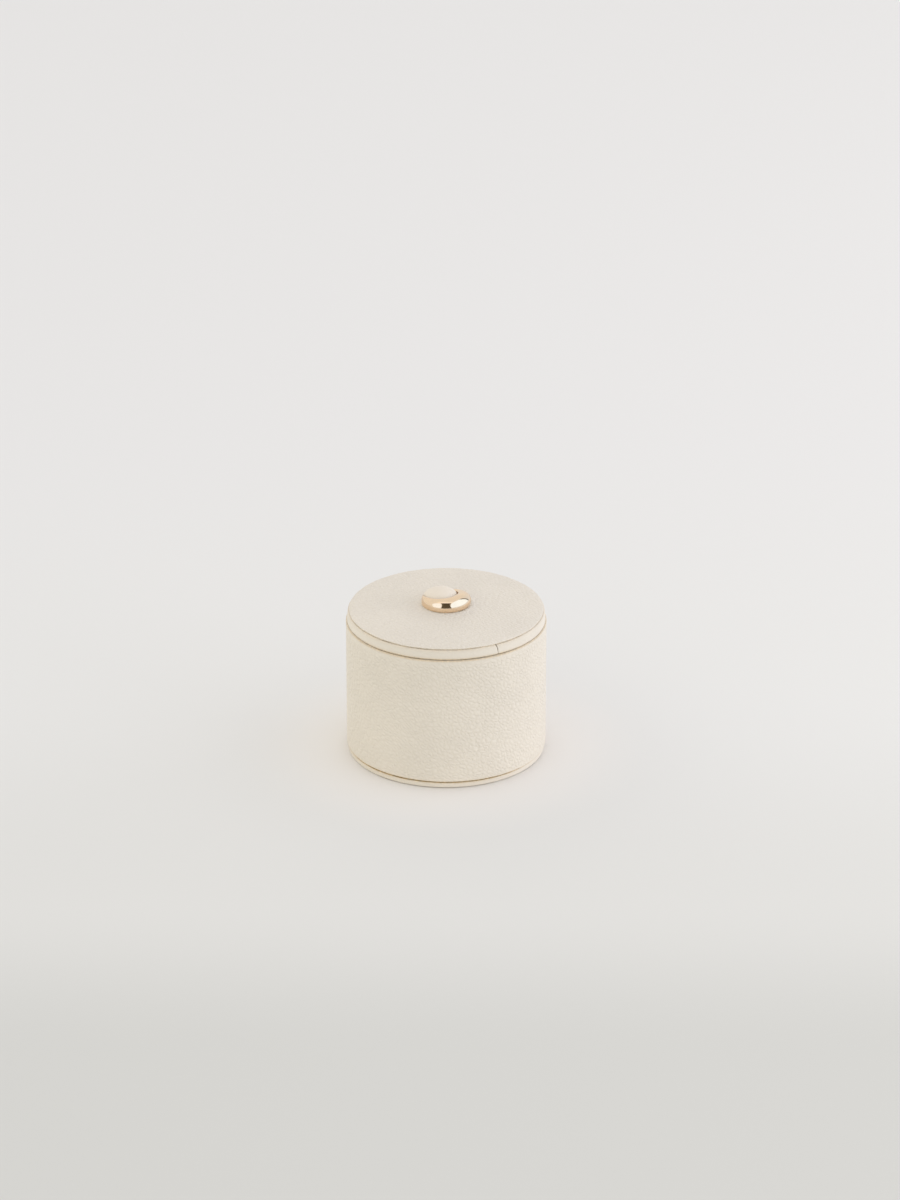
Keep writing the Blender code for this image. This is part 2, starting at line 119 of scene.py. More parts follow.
SETTLED_FROM = 12.0  # radius from which the cover settles unevenly
SETTLED_REACH = 16.0
LINING_RIPPLE = 0.07
RIPPLE_HEIGHT = 11.0  # height over which a ripple turns by one radian
RIPPLE_FADE = 5.0
FOLD_WAVE = 0.05
FOLD_FADE = 2.0
CUSHION_PUCKER = 0.05
PADDING_DENT = 0.06
PADDING_FADE = 3.0
PLUG_PUCKER = 0.05
PLUG_SAG = 0.07
PLUG_RIM = 3.0  # width that stays flat under the plug's edge
PLUG_RIM_FADE = 14.0
PLUG_MIDDLE = 12.0  # radius within which the sag dies out again

# Raw colour along the leather's edges, partly the cut edge's own tan and partly painted warm shade in the
# seams: how far it reaches from an edge, in mm, and its share
FOOT_STAIN_AND_SHADE = (0.35, 0.45)
RIM_STAIN_AND_SHADE = (0.45, 0.70)
BASE_STAIN_AND_SHADE = (0.55, 0.50)
BAND_FOLD_STAIN_AND_SHADE = (0.35, 0.95)
BAND_TOP_STAIN_AND_SHADE = (0.25, 0.50)
STAIN_AND_SHADE_WANDER = 0.15

# Stretches round the case: the middle, the half length and the fade, in degrees
FOOT_SEAM = (-110, 46, 31)  # where the foot's seam shows
# the stretch where the band's raw edges also take painted warm shade
BAND_STAINED_AND_SHADED = (-98, 42, 25)
BAND_DIP = (-115, 12, 10)  # where the band's upper edge dips
BAND_LOW_RIGHT = (0, 40, 25)  # where its lower edge reaches furthest
BAND_LOW_LEFT = (180, 35, 20)

# Knob, in mm
KNOB_RADIUS = 9.9
KNOB_BORE = 6.9  # radius of the dome's seat
KNOB_REACH = 3.1  # from the knob's axis to the seat's
KNOB_THIN_AT = math.radians(135)  # where the crescent is thinnest
KNOB_RIM = 0.3  # its least width
KNOB_HEIGHT = 4.6
KNOB_PLATE = 0.8  # thickness of the plate under the dome
KNOB_STEP = 0.1  # the lowest crest stands this far above the plate
BLUNT_TAPER = 0.22  # how the crest falls towards the front tip
LONG_TAPER = 0.8  # and towards the back tip
KNOB_SWELL = 0.42  # rise of the lid's leather, pressed up round the knob's foot
SWELL_REACH = 2.0
CREST_IN = 0.28  # place of the crest, in widths of the crescent from the seat
BORE_WALL = 0.88  # top of the seat's wall, of the crest's height above the plate
BELLY = 0.31  # height of the widest girth, of the crest's
FOOT_IN = 0.12  # how far the foot draws in, in widths
FOOT_ROW = 0.8  # a row of points lies this far inside the foot
FLANK_POWER = 0.9  # under 1 the flank is fuller than an ellipse
STUD_RADIUS = 1.5
DOME_SIDE = 1.1  # height of the dome's upright side
DOME_FLAT = 0.45  # the dome's enamel stays this far below its solid's top

# Seams
CASE_SEAM_AT = math.radians(90)
BAND_SEAM_AT = math.radians(-59.6)
SEAM_ROLL = 0.10  # mm that the leather's edges roll down into a seam
ROLL_REACH = 0.35  # mm over which they do
SEAM_GAP_REACH = 1.2  # mm over which a seam's gap and its bend fade out
SEAM_BEND_REACH = 4.0
SEAM_STEPS = (0.0, 0.08, 0.16, 0.28, 0.42, 0.6, 0.85, 1.15)  # mm from a seam, finer close to it

# Mesh
FINE = 640  # steps round the case for leather with a raised grain
SMOOTH = 480  # steps round the other pieces
KNOB_STEPS = 240
FOOT_PARTS = 8  # parts of the crescent's section: round its foot, up its flank and over its crest
FLANK_PARTS = 28
CREST_PARTS = 10
DOME_ROWS = 37
COVER_ROWS = 100
COVER_UNDER_ROWS = 16
PADDING_ROWS = 32
PADDING_STEPS = 240
CUSHION_STEPS = 176
GRAIN_STEP = 0.42  # mm between rows of a grained face
SOFT_STEPS = 5
SOFT_SHARE = 0.48  # a soft corner takes at most this share of a run
SHARP = math.radians(50)

# Cloth
CLOTH_SCALE = 100  # the cloth is simulated this much larger, where the solver's settings suit it
CLOTH_FRAMES = 20
CLOTH_PRESSURE = 1.5
CLOTH_GROWTH = 0.05  # spare cloth, as a share
HELD_SIDE = 2.6  # mm below the crown, where the cushion's side is glued

# Leather grain
GRAIN_LONG = 2.28  # mm, length of a pebble
GRAIN_SHORT = 1.43  # mm, width of a pebble
GRAIN_LEAN = math.radians(35)
GRAIN_DRIFT = 2.4  # mm, how far the rows of pebbles wander
DRIFT_SCALE = 0.13  # how fast they do, per mm
GRAIN_RIPPLE = 0.55  # mm, how far a crease strays
RIPPLE_SCALE = 1.1
PEBBLE_SCATTER = 0.92  # how unevenly the pebbles are placed, from 0 to 1
PEBBLE_REACH = 0.46  # from a crease to a pebble's top, in widths of a pebble
PEBBLE_ROUND = 1.6  # a higher power flattens the pebbles and narrows the creases
GRAIN_SHALLOW = 0.70  # depth of the faintest creases, of the deepest
DEPTH_SCALE = 0.55  # how fast their depth changes, per mm
GRAIN_DEPTH = 0.118  # mm, height of a pebble in the mesh
GRAIN_BUMP = 0.150  # mm, height added by the shader in the creases

# A corner of a profile: its radius and height, the length over which it turns, the step between rows up to
# the next corner, and the shares of raised grain and of raw edge
# Near the seams a corner's raw share also stands as painted warm shade.
Corner = namedtuple("Corner", "r z soft step grain raw", defaults=(0.0, 2.0, 0.0, 0.0))

# A butt seam: its angle, and its gap and sideways bend in mm, by the height from 0 to 1
Seam = namedtuple("Seam", "at gap bend")


def extent(node):
    """(radius, bottom, top) of a round CAD node, in mm."""
    low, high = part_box(node)
    return (high.x - low.x) / 2 / MM, low.z / MM, high.z / MM


def ease(x):
    """A smooth step from 0 to 1."""
    x = np.clip(x, 0.0, 1.0)
    return x * x * (3 - 2 * x)


def near(value, end, reach):
    """Rises smoothly from 0 to 1 over the reach before an end."""
    return ease((value - end + reach) / reach)


def arc(angle, middle, half, fade):
    """1 within half degrees of a middle angle, and 0 past the fade."""
    off = np.abs((np.degrees(angle) - middle + 180) % 360 - 180)
    return 1 - ease((off - half) / fade)


def wander(angle, seed, waves=(2, 3, 5, 8, 13, 21, 34)):
    """An uneven wave round the axis, mostly between -1 and 1."""
    random = np.random.default_rng(seed)
    total = 0.0
    for wave in waves:
        total = total + random.uniform(0.5, 1.0) * np.sin(wave * angle + random.uniform(0, math.tau))
    return total / math.sqrt(len(waves))


def edge_stain_and_shade(off, stain_and_shade, angle, seed):
    """Raw colour that fades with the distance off an edge, in mm, and varies along it: the edge's own tan,
    and painted warm shade in its seam.
    """
    reach, share = stain_and_shade
    return np.exp(-np.maximum(off, 0.0) / reach) * (share + STAIN_AND_SHADE_WANDER * wander(angle, seed))


# Meshes

def add_object(name, data):
    made = bpy.data.objects.new(name, data)
    bpy.context.scene.collection.objects.link(made)
    return made


def outline(corners, closed):
    """Rows of (r, z, grain, raw) along a profile in mm.

    A corner turns over its soft length. Its step and raw hold for the run that leaves it, and grain changes
    evenly from one corner to the next.
    """
    count = len(corners)
    turns = []
    for i, corner in enumerate(corners):
        here = Vector((corner.r, corner.z))
        if corner.soft == 0 or (not closed and i in (0, count - 1)):
            turns.append([here])
            continue
        reaches = []
        for near in (corners[i - 1], corners[(i + 1) % count]):
            run = Vector((near.r, near.z)) - here
            reaches.append(here + run * min(corner.soft / run.length, SOFT_SHARE))
        shares = [k / SOFT_STEPS for k in range(SOFT_STEPS + 1)]
        turns.append([reaches[0].lerp(here, s).lerp(here.lerp(reaches[1], s), s) for s in shares])
    rows = []
    for i, turn in enumerate(turns):
        corner, before, after = corners[i], corners[i - 1], corners[(i + 1) % count]
        for k, point in enumerate(turn):
            raw = before.raw + (corner.raw - before.raw) * (k + 0.5) / len(turn)
            rows.append((point.x, point.y, corner.grain, raw))
        if closed or i < count - 1:
            start, end = turn[-1], turns[(i + 1) % count][0]
            parts = max(1, round((end - start).length / corner.step))
            for k in range(1, parts):
                point = start.lerp(end, k / parts)
                grain = corner.grain + (after.grain - corner.grain) * k / parts
                rows.append((point.x, point.y, grain, corner.raw))
    return np.array(rows)


def crowned(full, base, crown, step):
    """Corners over a low crown, which meets its base at a full radius, from there to its middle."""
    parts = max(2, round(full / step))
    radii = [full - full * i / parts for i in range(1, parts + 1)]
    return [Corner(r, base + crown * (1 - (r / full) ** 2), step=step) for r in radii]


def quarter_turn(parts):
    """The sine and the cosine at even steps from a quarter turn down to 0."""
    return [(math.sin(turn), max(math.cos(turn), 0.0)) for turn in np.linspace(math.pi / 2, 0, parts + 1)]


def domed(radius, rim, top, hole, rows, grain=0.0):
    """Corners up a half ellipse, from its rim at a radius to the height top at a hole."""
    turns = np.linspace(math.pi / 2, math.asin(hole / radius), rows)
    rise = (top - rim) / math.cos(turns[-1])
    return [Corner(radius * math.sin(t), rim + rise * math.cos(t), step=radius, grain=grain) for t in turns]


def loft(name, angle, r, z, closed, ring, place, grain, raw, centre=(0.0, 0.0)):
    """A closed mesh from sections round an axis, in mm.

    The arrays are one row for each angle and one column for each point of the section, which runs
    counter-clockwise with r across and z up. A column at radius 0 is a pole.
    """
    rings, points = r.shape
    keep = np.ones((rings, points), bool)
    poles = [] if closed else [column for column in (0, points - 1) if np.all(r[:, column] == 0)]
    for column in poles:
        keep[1:, column] = False
    index = (np.cumsum(keep) - 1).reshape(rings, points)
    for column in poles:
        index[:, column] = index[0, column]

    i, j = np.meshgrid(np.arange(rings if ring else rings - 1), np.arange(points if closed else points - 1),
                       indexing="ij")
    corners = np.stack([i, j, i + 1, j, i + 1, j + 1, i, j + 1], -1).reshape(-1, 4, 2)
    numbers = index[corners[..., 0] % rings, corners[..., 1] % points]
    faces = [tuple(dict.fromkeys(face)) for face in numbers.tolist()]
    if not ring:
        faces.append(tuple(index[0].tolist()))
        faces.append(tuple(index[-1, ::-1].tolist()))

    x = (centre[0] + r * np.cos(angle)) * MM
    y = (centre[1] + r * np.sin(angle)) * MM
    mesh = bpy.data.meshes.new(name)
    mesh.from_pydata(np.stack([x, y, z * MM], -1)[keep].tolist(), [], faces)
    mesh.attributes.new("grain_place", "FLOAT_VECTOR", "POINT")
    mesh.attributes["grain_place"].data.foreach_set("vector", place[keep].ravel())
    for share, values in (("relief", grain), ("raw", raw)):
        mesh.attributes.new(share, "FLOAT", "POINT").data.foreach_set("value", values[keep])
    mesh.validate()
    mesh.shade_smooth()
    mesh.set_sharp_from_angle(angle=SHARP)
    return add_object(name, mesh)


def unit_tangent(r, z, closed):
    """The profile's direction at each row, as its parts across and up."""
    if closed:
        tangent = np.stack([np.roll(r, -1) - np.roll(r, 1), np.roll(z, -1) - np.roll(z, 1)])
    else:
        tangent = np.stack([np.gradient(r), np.gradient(z)])
    return tangent / np.maximum(np.hypot(*tangent), 1e-9)


def shares_between_ends(around, steps):
    """Shares of the way round from one end of a strip to the other, closer together near the seam."""
    near = np.array(SEAM_STEPS) / around
    first = near[-1] + 1 / steps
    return np.unique(np.concatenate([near, np.linspace(first, 1 - first, steps), 1 - near]))


def hide_place(angle, r, z, flat_edge):
    """Each point's place on the flat hide, in mm.

    The hide is a strip unrolled from the side or, with flat_edge, a disc that bends down at that height.
    """
    if flat_edge is None:
        along = np.concatenate([[0.0], np.cumsum(np.hypot(np.diff(r[0]), np.diff(z[0])))])
        return np.stack([angle * r.max(), np.broadcast_to(along, r.shape), np.zeros_like(r)], -1)
    out = r + np.maximum(flat_edge - z, 0.0)
    return np.stack([out * np.cos(angle), out * np.sin(angle), np.zeros_like(r)], -1)


def join_ends(seam, ahead, behind, tangent, angle, r, z):
    """The strip with its ends rolled down into a seam, by each point's distance ahead of it and behind it."""
    roll = SEAM_ROLL * (np.exp(-((ahead / ROLL_REACH) ** 2)) + np.exp(-((behind / ROLL_REACH) ** 2)))
    r = r - roll * tangent[1]
    z = z + roll * tangent[0]
    height = (z - z.min()) / (z.max() - z.min())
    slide = seam.gap(height) / 2 * (np.exp(-ahead / SEAM_GAP_REACH) - np.exp(-behind / SEAM_GAP_REACH))
    slide = slide + seam.bend(height) * (np.exp(-ahead / SEAM_BEND_REACH) + np.exp(-behind / SEAM_BEND_REACH))
    return angle + slide / np.maximum(r, 1.0), r, z


def turned(name, corners, steps, closed=True, seam=None, shape=None, stain_and_shade=None, flat_edge=None,
           centre=(0.0, 0.0)):
    """A piece turned about Z from a profile. A seam leaves it open there, with both ends closed.

    shape(angle, r, z) gives the changes in r and z, in mm, and the stain function what to add to raw: more of
    the edges' own tan, and painted warm shade in the seams.
    """
    r, z, grain, raw = outline(corners, closed).T
    tangent = unit_tangent(r, z, closed)
    around = math.tau * r.max()
    share = shares_between_ends(around, steps) if seam else np.arange(steps) / steps
    angle = (seam.at if seam else 0.0) + math.tau * share[:, None]
    angle, r, z, grain, raw = (np.array(each) for each in np.broadcast_arrays(angle, r, z, grain, raw))
    place = hide_place(angle, r, z, flat_edge)
    if stain_and_shade:
        raw = np.clip(raw + stain_and_shade(angle, r, z), 0.0, 1.0)
    if shape:
        move_r, move_z = shape(angle, r, z)
        r, z = r + move_r, z + move_z
    if seam:
        ahead = share[:, None] * around
        angle, r, z = join_ends(seam, ahead, around - ahead, tangent, angle, r, z)
    return loft(name, angle, r, z, closed, not seam, place, grain, raw, centre)


def swell(sheet, held_below):
    """How far each point of a sheet moves, in mm, when its cloth swells. The cloth is held below a height."""
    scene = bpy.context.scene
    mesh = sheet.data.copy()
    mesh.transform(Matrix.Scale(CLOTH_SCALE, 4))
    balloon = add_object("balloon", mesh)
    rest = np.array([vertex.co for vertex in mesh.vertices])
    held = balloon.vertex_groups.new(name="held")
    held.add(np.flatnonzero(rest[:, 2] < held_below * MM * CLOTH_SCALE).tolist(), 1.0, "REPLACE")
    cloth = balloon.modifiers.new("cloth", "CLOTH")
    cloth.settings.vertex_group_mass = "held"
    cloth.settings.use_pressure = True
    cloth.settings.uniform_pressure_force = CLOTH_PRESSURE
    cloth.settings.shrink_min = -CLOTH_GROWTH
    cloth.settings.bending_stiffness = 0.5
    cloth.settings.effector_weights.gravity = 0
    cloth.settings.quality = 6
    cloth.collision_settings.use_collision = False
    cloth.point_cache.frame_start, cloth.point_cache.frame_end = 1, CLOTH_FRAMES
    for number in range(1, CLOTH_FRAMES + 1):
        scene.frame_set(number)
    swollen = balloon.evaluated_get(bpy.context.evaluated_depsgraph_get())
    moved = np.array([vertex.co for vertex in swollen.data.vertices]) - rest
    bpy.data.objects.remove(balloon)
    scene.frame_set(1)
    return moved / CLOTH_SCALE / MM


# Nodes

class Graph:
    """Adds nodes to the tree of its owner. An input is a socket to link or a plain value."""

    def __init__(self, tree, owner=None):
        self.tree = tree
        self.owner = owner

    def add(self, kind, inputs, **settings):
        node = self.tree.nodes.new(kind)
        for key, value in settings.items():
            setattr(node, key, value)
        for key, value in inputs.items():
            if isinstance(value, bpy.types.NodeSocket):
                self.tree.links.new(value, node.inputs[key])
            else:
                node.inputs[key].default_value = value
        return node

    def math(self, operation, *values):
        return self.add("ShaderNodeMath", dict(enumerate(values)), operation=operation).outputs[0]

    def product(self, first, *others):
        for other in others:
            first = self.math("MULTIPLY", first, other)
        return first

    def vector(self, operation, *values):
        return self.add("ShaderNodeVectorMath", dict(enumerate(values)), operation=operation).outputs[0]

    def spot(self):
        """The place on the piece, in metres."""
        return self.add("ShaderNodeTexCoord", {}).outputs["Object"]

    def attribute(self, name, output="Fac"):
        return self.add("ShaderNodeAttribute", {}, attribute_name=name).outputs[output]

    def noise(self, place, scale, detail=2.0, roughness=0.5, output="Fac"):
        inputs = {"Vector": place, "Scale": scale, "Detail": detail, "Roughness": roughness}
        return self.add("ShaderNodeTexNoise", inputs).outputs[output]

    def cells(self, place, feature, scale, randomness=1.0, dimensions="3D"):
        """The distance to a scattered cell's middle or, by the feature, to its edge."""
        inputs = {"Vector": place, "Scale": scale, "Randomness": randomness}
        made = self.add("ShaderNodeTexVoronoi", inputs, feature=feature, voronoi_dimensions=dimensions)
        return made.outputs["Distance"]

    def span(self, value, low, high, to_low=0.0, to_high=1.0, smooth=True):
        """Takes the span from low to high to another span, and holds it past the ends."""
        inputs = {"Value": value, "From Min": low, "From Max": high, "To Min": to_low, "To Max": to_high}
        kind = "SMOOTHSTEP" if smooth else "LINEAR"
        return self.add("ShaderNodeMapRange", inputs, interpolation_type=kind).outputs["Result"]

    def vary(self, noise, low, high):
        """Takes a noise, which lies mostly between 0.3 and 0.7, to a span."""
        return self.span(noise, 0.3, 0.7, low, high)

    def vary_by(self, *noises):
        """The sum of some noises, each given with its span."""
        total, *others = (self.vary(*noise) for noise in noises)
        for other in others:
            total = self.math("ADD", total, other)
        return total

    def mix(self, factor, first, second):
        """Mixes two colours."""
        first, second = ((*c, 1.0) if isinstance(c, tuple) else c for c in (first, second))
        return self.add("ShaderNodeMix", {0: factor, 6: first, 7: second}, data_type="RGBA").outputs[2]

    def shade(self, colour, factor):
        """A colour made lighter or darker by a factor."""
        colour = (*colour, 1.0) if isinstance(colour, tuple) else colour
        grey = self.add("ShaderNodeCombineXYZ", {0: factor, 1: factor, 2: factor}).outputs[0]
        return self.add("ShaderNodeMix", {0: 1.0, 6: colour, 7: grey}, data_type="RGBA",
                        blend_type="MULTIPLY").outputs[2]

    def bump(self, height, depth, under=None):
        """Bump of a height from 0 to 1 that is depth mm deep."""
        inputs = {"Strength": 1.0, "Distance": depth * MM, "Height": height}
        if under:
            inputs["Normal"] = under
        return self.add("ShaderNodeBump", inputs).outputs[0]

    def finish(self, **inputs):
        """Adds the shader and the output, and gives the material. An input's name has _ for a space."""
        inputs = {key.replace("_", " "): value for key, value in inputs.items()}
        for key, value in inputs.items():
            if key.endswith(("Color", "Tint")) and isinstance(value, tuple):
                inputs[key] = (*value, 1.0)
        shader = self.add("ShaderNodeBsdfPrincipled", inputs)
        self.add("ShaderNodeOutputMaterial", {"Surface": shader.outputs[0]})
        return self.owner


def stray(graph, place, start, scale, reach):
    """Moves a start aside by a noise at a place, by up to half its reach each way."""
    aside = graph.vector("SUBTRACT", graph.noise(place, scale, 1.0, output="Color"), (0.5, 0.5, 0.5))
    return graph.vector("MULTIPLY_ADD", aside, (reach,) * 3, start)


def pebble_height(graph, place):
    """The leather's grain on a flat hide in mm: 0 in the creases and 1 on the pebbles."""
    moved = stray(graph, place, place, DRIFT_SCALE, GRAIN_DRIFT)
    moved = stray(graph, place, moved, RIPPLE_SCALE, GRAIN_RIPPLE)
    leaning = graph.add("ShaderNodeVectorRotate", {"Vector": moved, "Angle": GRAIN_LEAN},
                        rotation_type="Z_AXIS").outputs[0]
    scaled = graph.vector("MULTIPLY", leaning, (1 / GRAIN_LONG, 1 / GRAIN_SHORT, 0.0))
    edge = graph.cells(scaled, "DISTANCE_TO_EDGE", 1.0, PEBBLE_SCATTER, "2D")
    rise = graph.math("MINIMUM", graph.math("DIVIDE", edge, PEBBLE_REACH), 1.0)
    fall = graph.math("POWER", graph.math("SUBTRACT", 1.0, rise), PEBBLE_ROUND)
    depth = graph.span(graph.noise(moved, DEPTH_SCALE, 1.0), 0.38, 0.62, GRAIN_SHALLOW, 1.0)
    return graph.math("SUBTRACT", 1.0, graph.product(fall, depth))


def relief_tree():
    """The modifier's nodes, which raise the grain out of the leather."""
    tree = bpy.data.node_groups.new("raised_grain", "GeometryNodeTree")
    tree.interface.new_socket("Geometry", in_out="INPUT", socket_type="NodeSocketGeometry")
    tree.interface.new_socket("Geometry", in_out="OUTPUT", socket_type="NodeSocketGeometry")
    graph = Graph(tree)
    source = graph.add("NodeGroupInput", {})

    def attribute(name, kind):
        found = graph.add("GeometryNodeInputNamedAttribute", {"Name": name}, data_type=kind)
        return found.outputs["Attribute"]

    below = graph.math("SUBTRACT", pebble_height(graph, attribute("grain_place", "FLOAT_VECTOR")), 1.0)
    rise = graph.product(below, attribute("relief", "FLOAT"), GRAIN_DEPTH * MM)
    normal = graph.add("GeometryNodeInputNormal", {}).outputs[0]
    offset = graph.add("ShaderNodeVectorMath", {0: normal, 3: rise}, operation="SCALE").outputs[0]
    raised = graph.add("GeometryNodeSetPosition", {"Geometry": source.outputs[0], "Offset": offset})
    graph.add("NodeGroupOutput", {0: raised.outputs[0]})
    return tree


def new_material(name):
    """The graph of a new, empty material."""
    material = bpy.data.materials.new(name)
    material.use_nodes = True
    material.node_tree.nodes.clear()
    return Graph(material.node_tree, material)


# Materials

LEATHER_COLOUR = (0.752, 0.693, 0.605)
# The creases are darker, partly the leather's own tone and partly painted shade
CREASE_TONE_AND_SHADE = (0.65, 0.585, 0.480)
CREASE_TONE_AND_SHADE_SHARE = 0.22  # how far the creases take their colour
# The raw leather's tan, also used as painted warm shade in the seams
RAW_AND_SHADE_COLOUR = (0.54, 0.395, 0.205)
SUEDE_COLOUR = (0.55, 0.46, 0.365)
SHEEN_TINT = (0.95, 0.90, 0.82)
BOARD_COLOUR = (0.36, 0.325, 0.28)
FLECK_COLOUR = (0.16, 0.13, 0.10)
FOAM_COLOUR = (0.78, 0.74, 0.64)
GOLD_COLOUR = (0.92, 0.715, 0.51)
ENAMEL_COLOUR = (0.775, 0.695, 0.585)
STEEL_COLOUR = (0.56, 0.57, 0.58)


def leather_material():
    graph = new_material("cream_leather")
    place = graph.attribute("grain_place", "Vector")
    # raw holds the edges' own tan and painted warm shade in the seams
    relief, raw = graph.attribute("relief"), graph.attribute("raw")
    spot = graph.spot()
    pebbles = pebble_height(graph, place)
    # painted shade, with some of the leather's own tone, in the grain's creases
    crease_tone_and_shade = graph.product(graph.math("SUBTRACT", 1.0, pebbles), relief, CREASE_TONE_AND_SHADE_SHARE)
    hide = graph.mix(crease_tone_and_shade, LEATHER_COLOUR, CREASE_TONE_AND_SHADE)
    cloud = graph.noise(spot, 45.0, 3.0)
    speck = graph.noise(place, 5.0, 3.0, 0.65)
    hide = graph.shade(hide, graph.vary_by((cloud, 0.975, 1.012), (speck, -0.015, 0.015)))
    fibre = graph.noise(spot, 900.0, 4.0, 0.7)
    raw_and_shade = graph.shade(RAW_AND_SHADE_COLOUR, graph.vary(fibre, 0.7, 1.35))
    colour = graph.mix(raw, hide, raw_and_shade)
    pores = graph.cells(place, "F1", 3.6, 1.0, "2D")
    fine = graph.math("ADD", graph.product(graph.span(pores, 0.0, 0.5), 0.5), speck)
    height = graph.bump(graph.product(pebbles, relief), GRAIN_BUMP)
    height = graph.bump(fine, 0.006, height)
    rough = graph.span(graph.math("ADD", pebbles, graph.product(speck, 0.6)), 0.2, 1.5, 0.64, 0.50)
    rough = graph.math("MAXIMUM", rough, graph.product(raw, 0.9))
    return graph.finish(Base_Color=colour, Roughness=rough, Normal=height, Specular_IOR_Level=0.42)


def suede_material():
    graph = new_material("beige_suede")
    spot = graph.spot()
    nap = graph.noise(graph.vector("MULTIPLY", spot, (1.0, 1.0, 0.45)), 260.0, 3.0, 0.6)
    hair = graph.noise(spot, 3200.0, 3.0, 0.7)
    cloud = graph.noise(spot, 38.0, 2.0)
    tone = graph.vary_by((nap, 0.93, 1.06), (cloud, -0.03, 0.04), (hair, -0.07, 0.07))
    height = graph.bump(nap, 0.05)
    height = graph.bump(hair, 0.03, height)
    rough = graph.span(hair, 0.2, 0.8, 0.88, 1.0)
    return graph.finish(Base_Color=graph.shade(SUEDE_COLOUR, tone), Roughness=rough, Normal=height,
                        Specular_IOR_Level=0.2, Sheen_Weight=0.35, Sheen_Roughness=0.45,
                        Sheen_Tint=SHEEN_TINT)


def board_material():
    graph = new_material("grey_board")
    spot = graph.spot()
    fibre = graph.noise(graph.vector("MULTIPLY", spot, (1.0, 1.0, 4.0)), 700.0, 4.0, 0.7)
    cloud = graph.noise(spot, 90.0, 3.0)
    fleck = graph.span(graph.cells(spot, "F1", 520.0), 0.10, 0.22, 1.0, 0.0)
    tone = graph.vary_by((fibre, 0.85, 1.12), (cloud, -0.05, 0.05))
    colour = graph.mix(graph.product(fleck, 0.45), graph.shade(BOARD_COLOUR, tone), FLECK_COLOUR)
    return graph.finish(Base_Color=colour, Roughness=graph.span(fibre, 0.2, 0.8, 0.82, 0.96),
                        Normal=graph.bump(fibre, 0.03), Specular_IOR_Level=0.25)


def foam_material():
    graph = new_material("cream_padding")
    spot = graph.spot()
    pores = graph.cells(spot, "F1", 2200.0)
    cloud = graph.noise(spot, 160.0, 3.0)
    # The pores are darker: painted shade in the foam's holes
    tone = graph.product(graph.span(pores, 0.05, 0.5, 0.78, 1.0), graph.vary(cloud, 0.96, 1.03))
    rough = graph.span(pores, 0.0, 0.6, 1.0, 0.9)
    return graph.finish(Base_Color=graph.shade(FOAM_COLOUR, tone), Roughness=rough,
                        Normal=graph.bump(pores, 0.12), Specular_IOR_Level=0.15)


def gold_material():
    graph = new_material("pale_gold")
    spot = graph.spot()
    worn = graph.noise(spot, 240.0, 3.0)
    fine = graph.noise(graph.vector("MULTIPLY", spot, (1.0, 1.0, 7.0)), 1400.0, 2.0)
    colour = graph.shade(GOLD_COLOUR, graph.vary(worn, 0.97, 1.02))
    rough = graph.vary_by((worn, 0.055, 0.095), (fine, 0.0, 0.02))
    return graph.finish(Base_Color=colour, Metallic=1.0, Roughness=rough, Normal=graph.bump(fine, 0.0005))


def enamel_material():
    graph = new_material("cream_enamel")
    spot = graph.spot()
    cloud = graph.noise(spot, 170.0, 3.0)
    speck = graph.noise(spot, 1500.0, 2.0)
    tone = graph.vary_by((cloud, 0.985, 1.01), (speck, -0.006, 0.006))
    colour = graph.shade(ENAMEL_COLOUR, tone)
    return graph.finish(Base_Color=colour, Roughness=graph.vary(cloud, 0.30, 0.38),
                        Normal=graph.bump(speck, 0.0008), Specular_IOR_Level=0.45)


def steel_material():
    graph = new_material("zinc_steel")
    spot = graph.spot()
    brushed = graph.noise(graph.vector("MULTIPLY", spot, (1.0, 9.0, 1.0)), 900.0, 3.0)
    cloud = graph.noise(spot, 300.0, 3.0)
    colour = graph.shade(STEEL_COLOUR, graph.vary(cloud, 0.86, 1.06))
    return graph.finish(Base_Color=colour, Metallic=1.0, Roughness=graph.vary(brushed, 0.28, 0.46),
                        Normal=graph.bump(brushed, 0.004))


SLOT_MATERIALS = {
    "leather": leather_material(),
    "suede": suede_material(),
    "board": board_material(),
    "foam": foam_material(),
    "gold": gold_material(),
    "cabochon": enamel_material(),
    "steel": steel_material(),
}
raised_grain = relief_tree()


def dress(piece, slot, body, *replaced):
    """Gives a piece its finish, its body and the CAD nodes that it stands for."""
    piece.data.materials.append(SLOT_MATERIALS[slot])
    if slot == "leather":
        modifier = piece.modifiers.new("grain", "NODES")
        modifier.node_group = raised_grain
    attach(piece, body)
    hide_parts(*replaced)


# Case

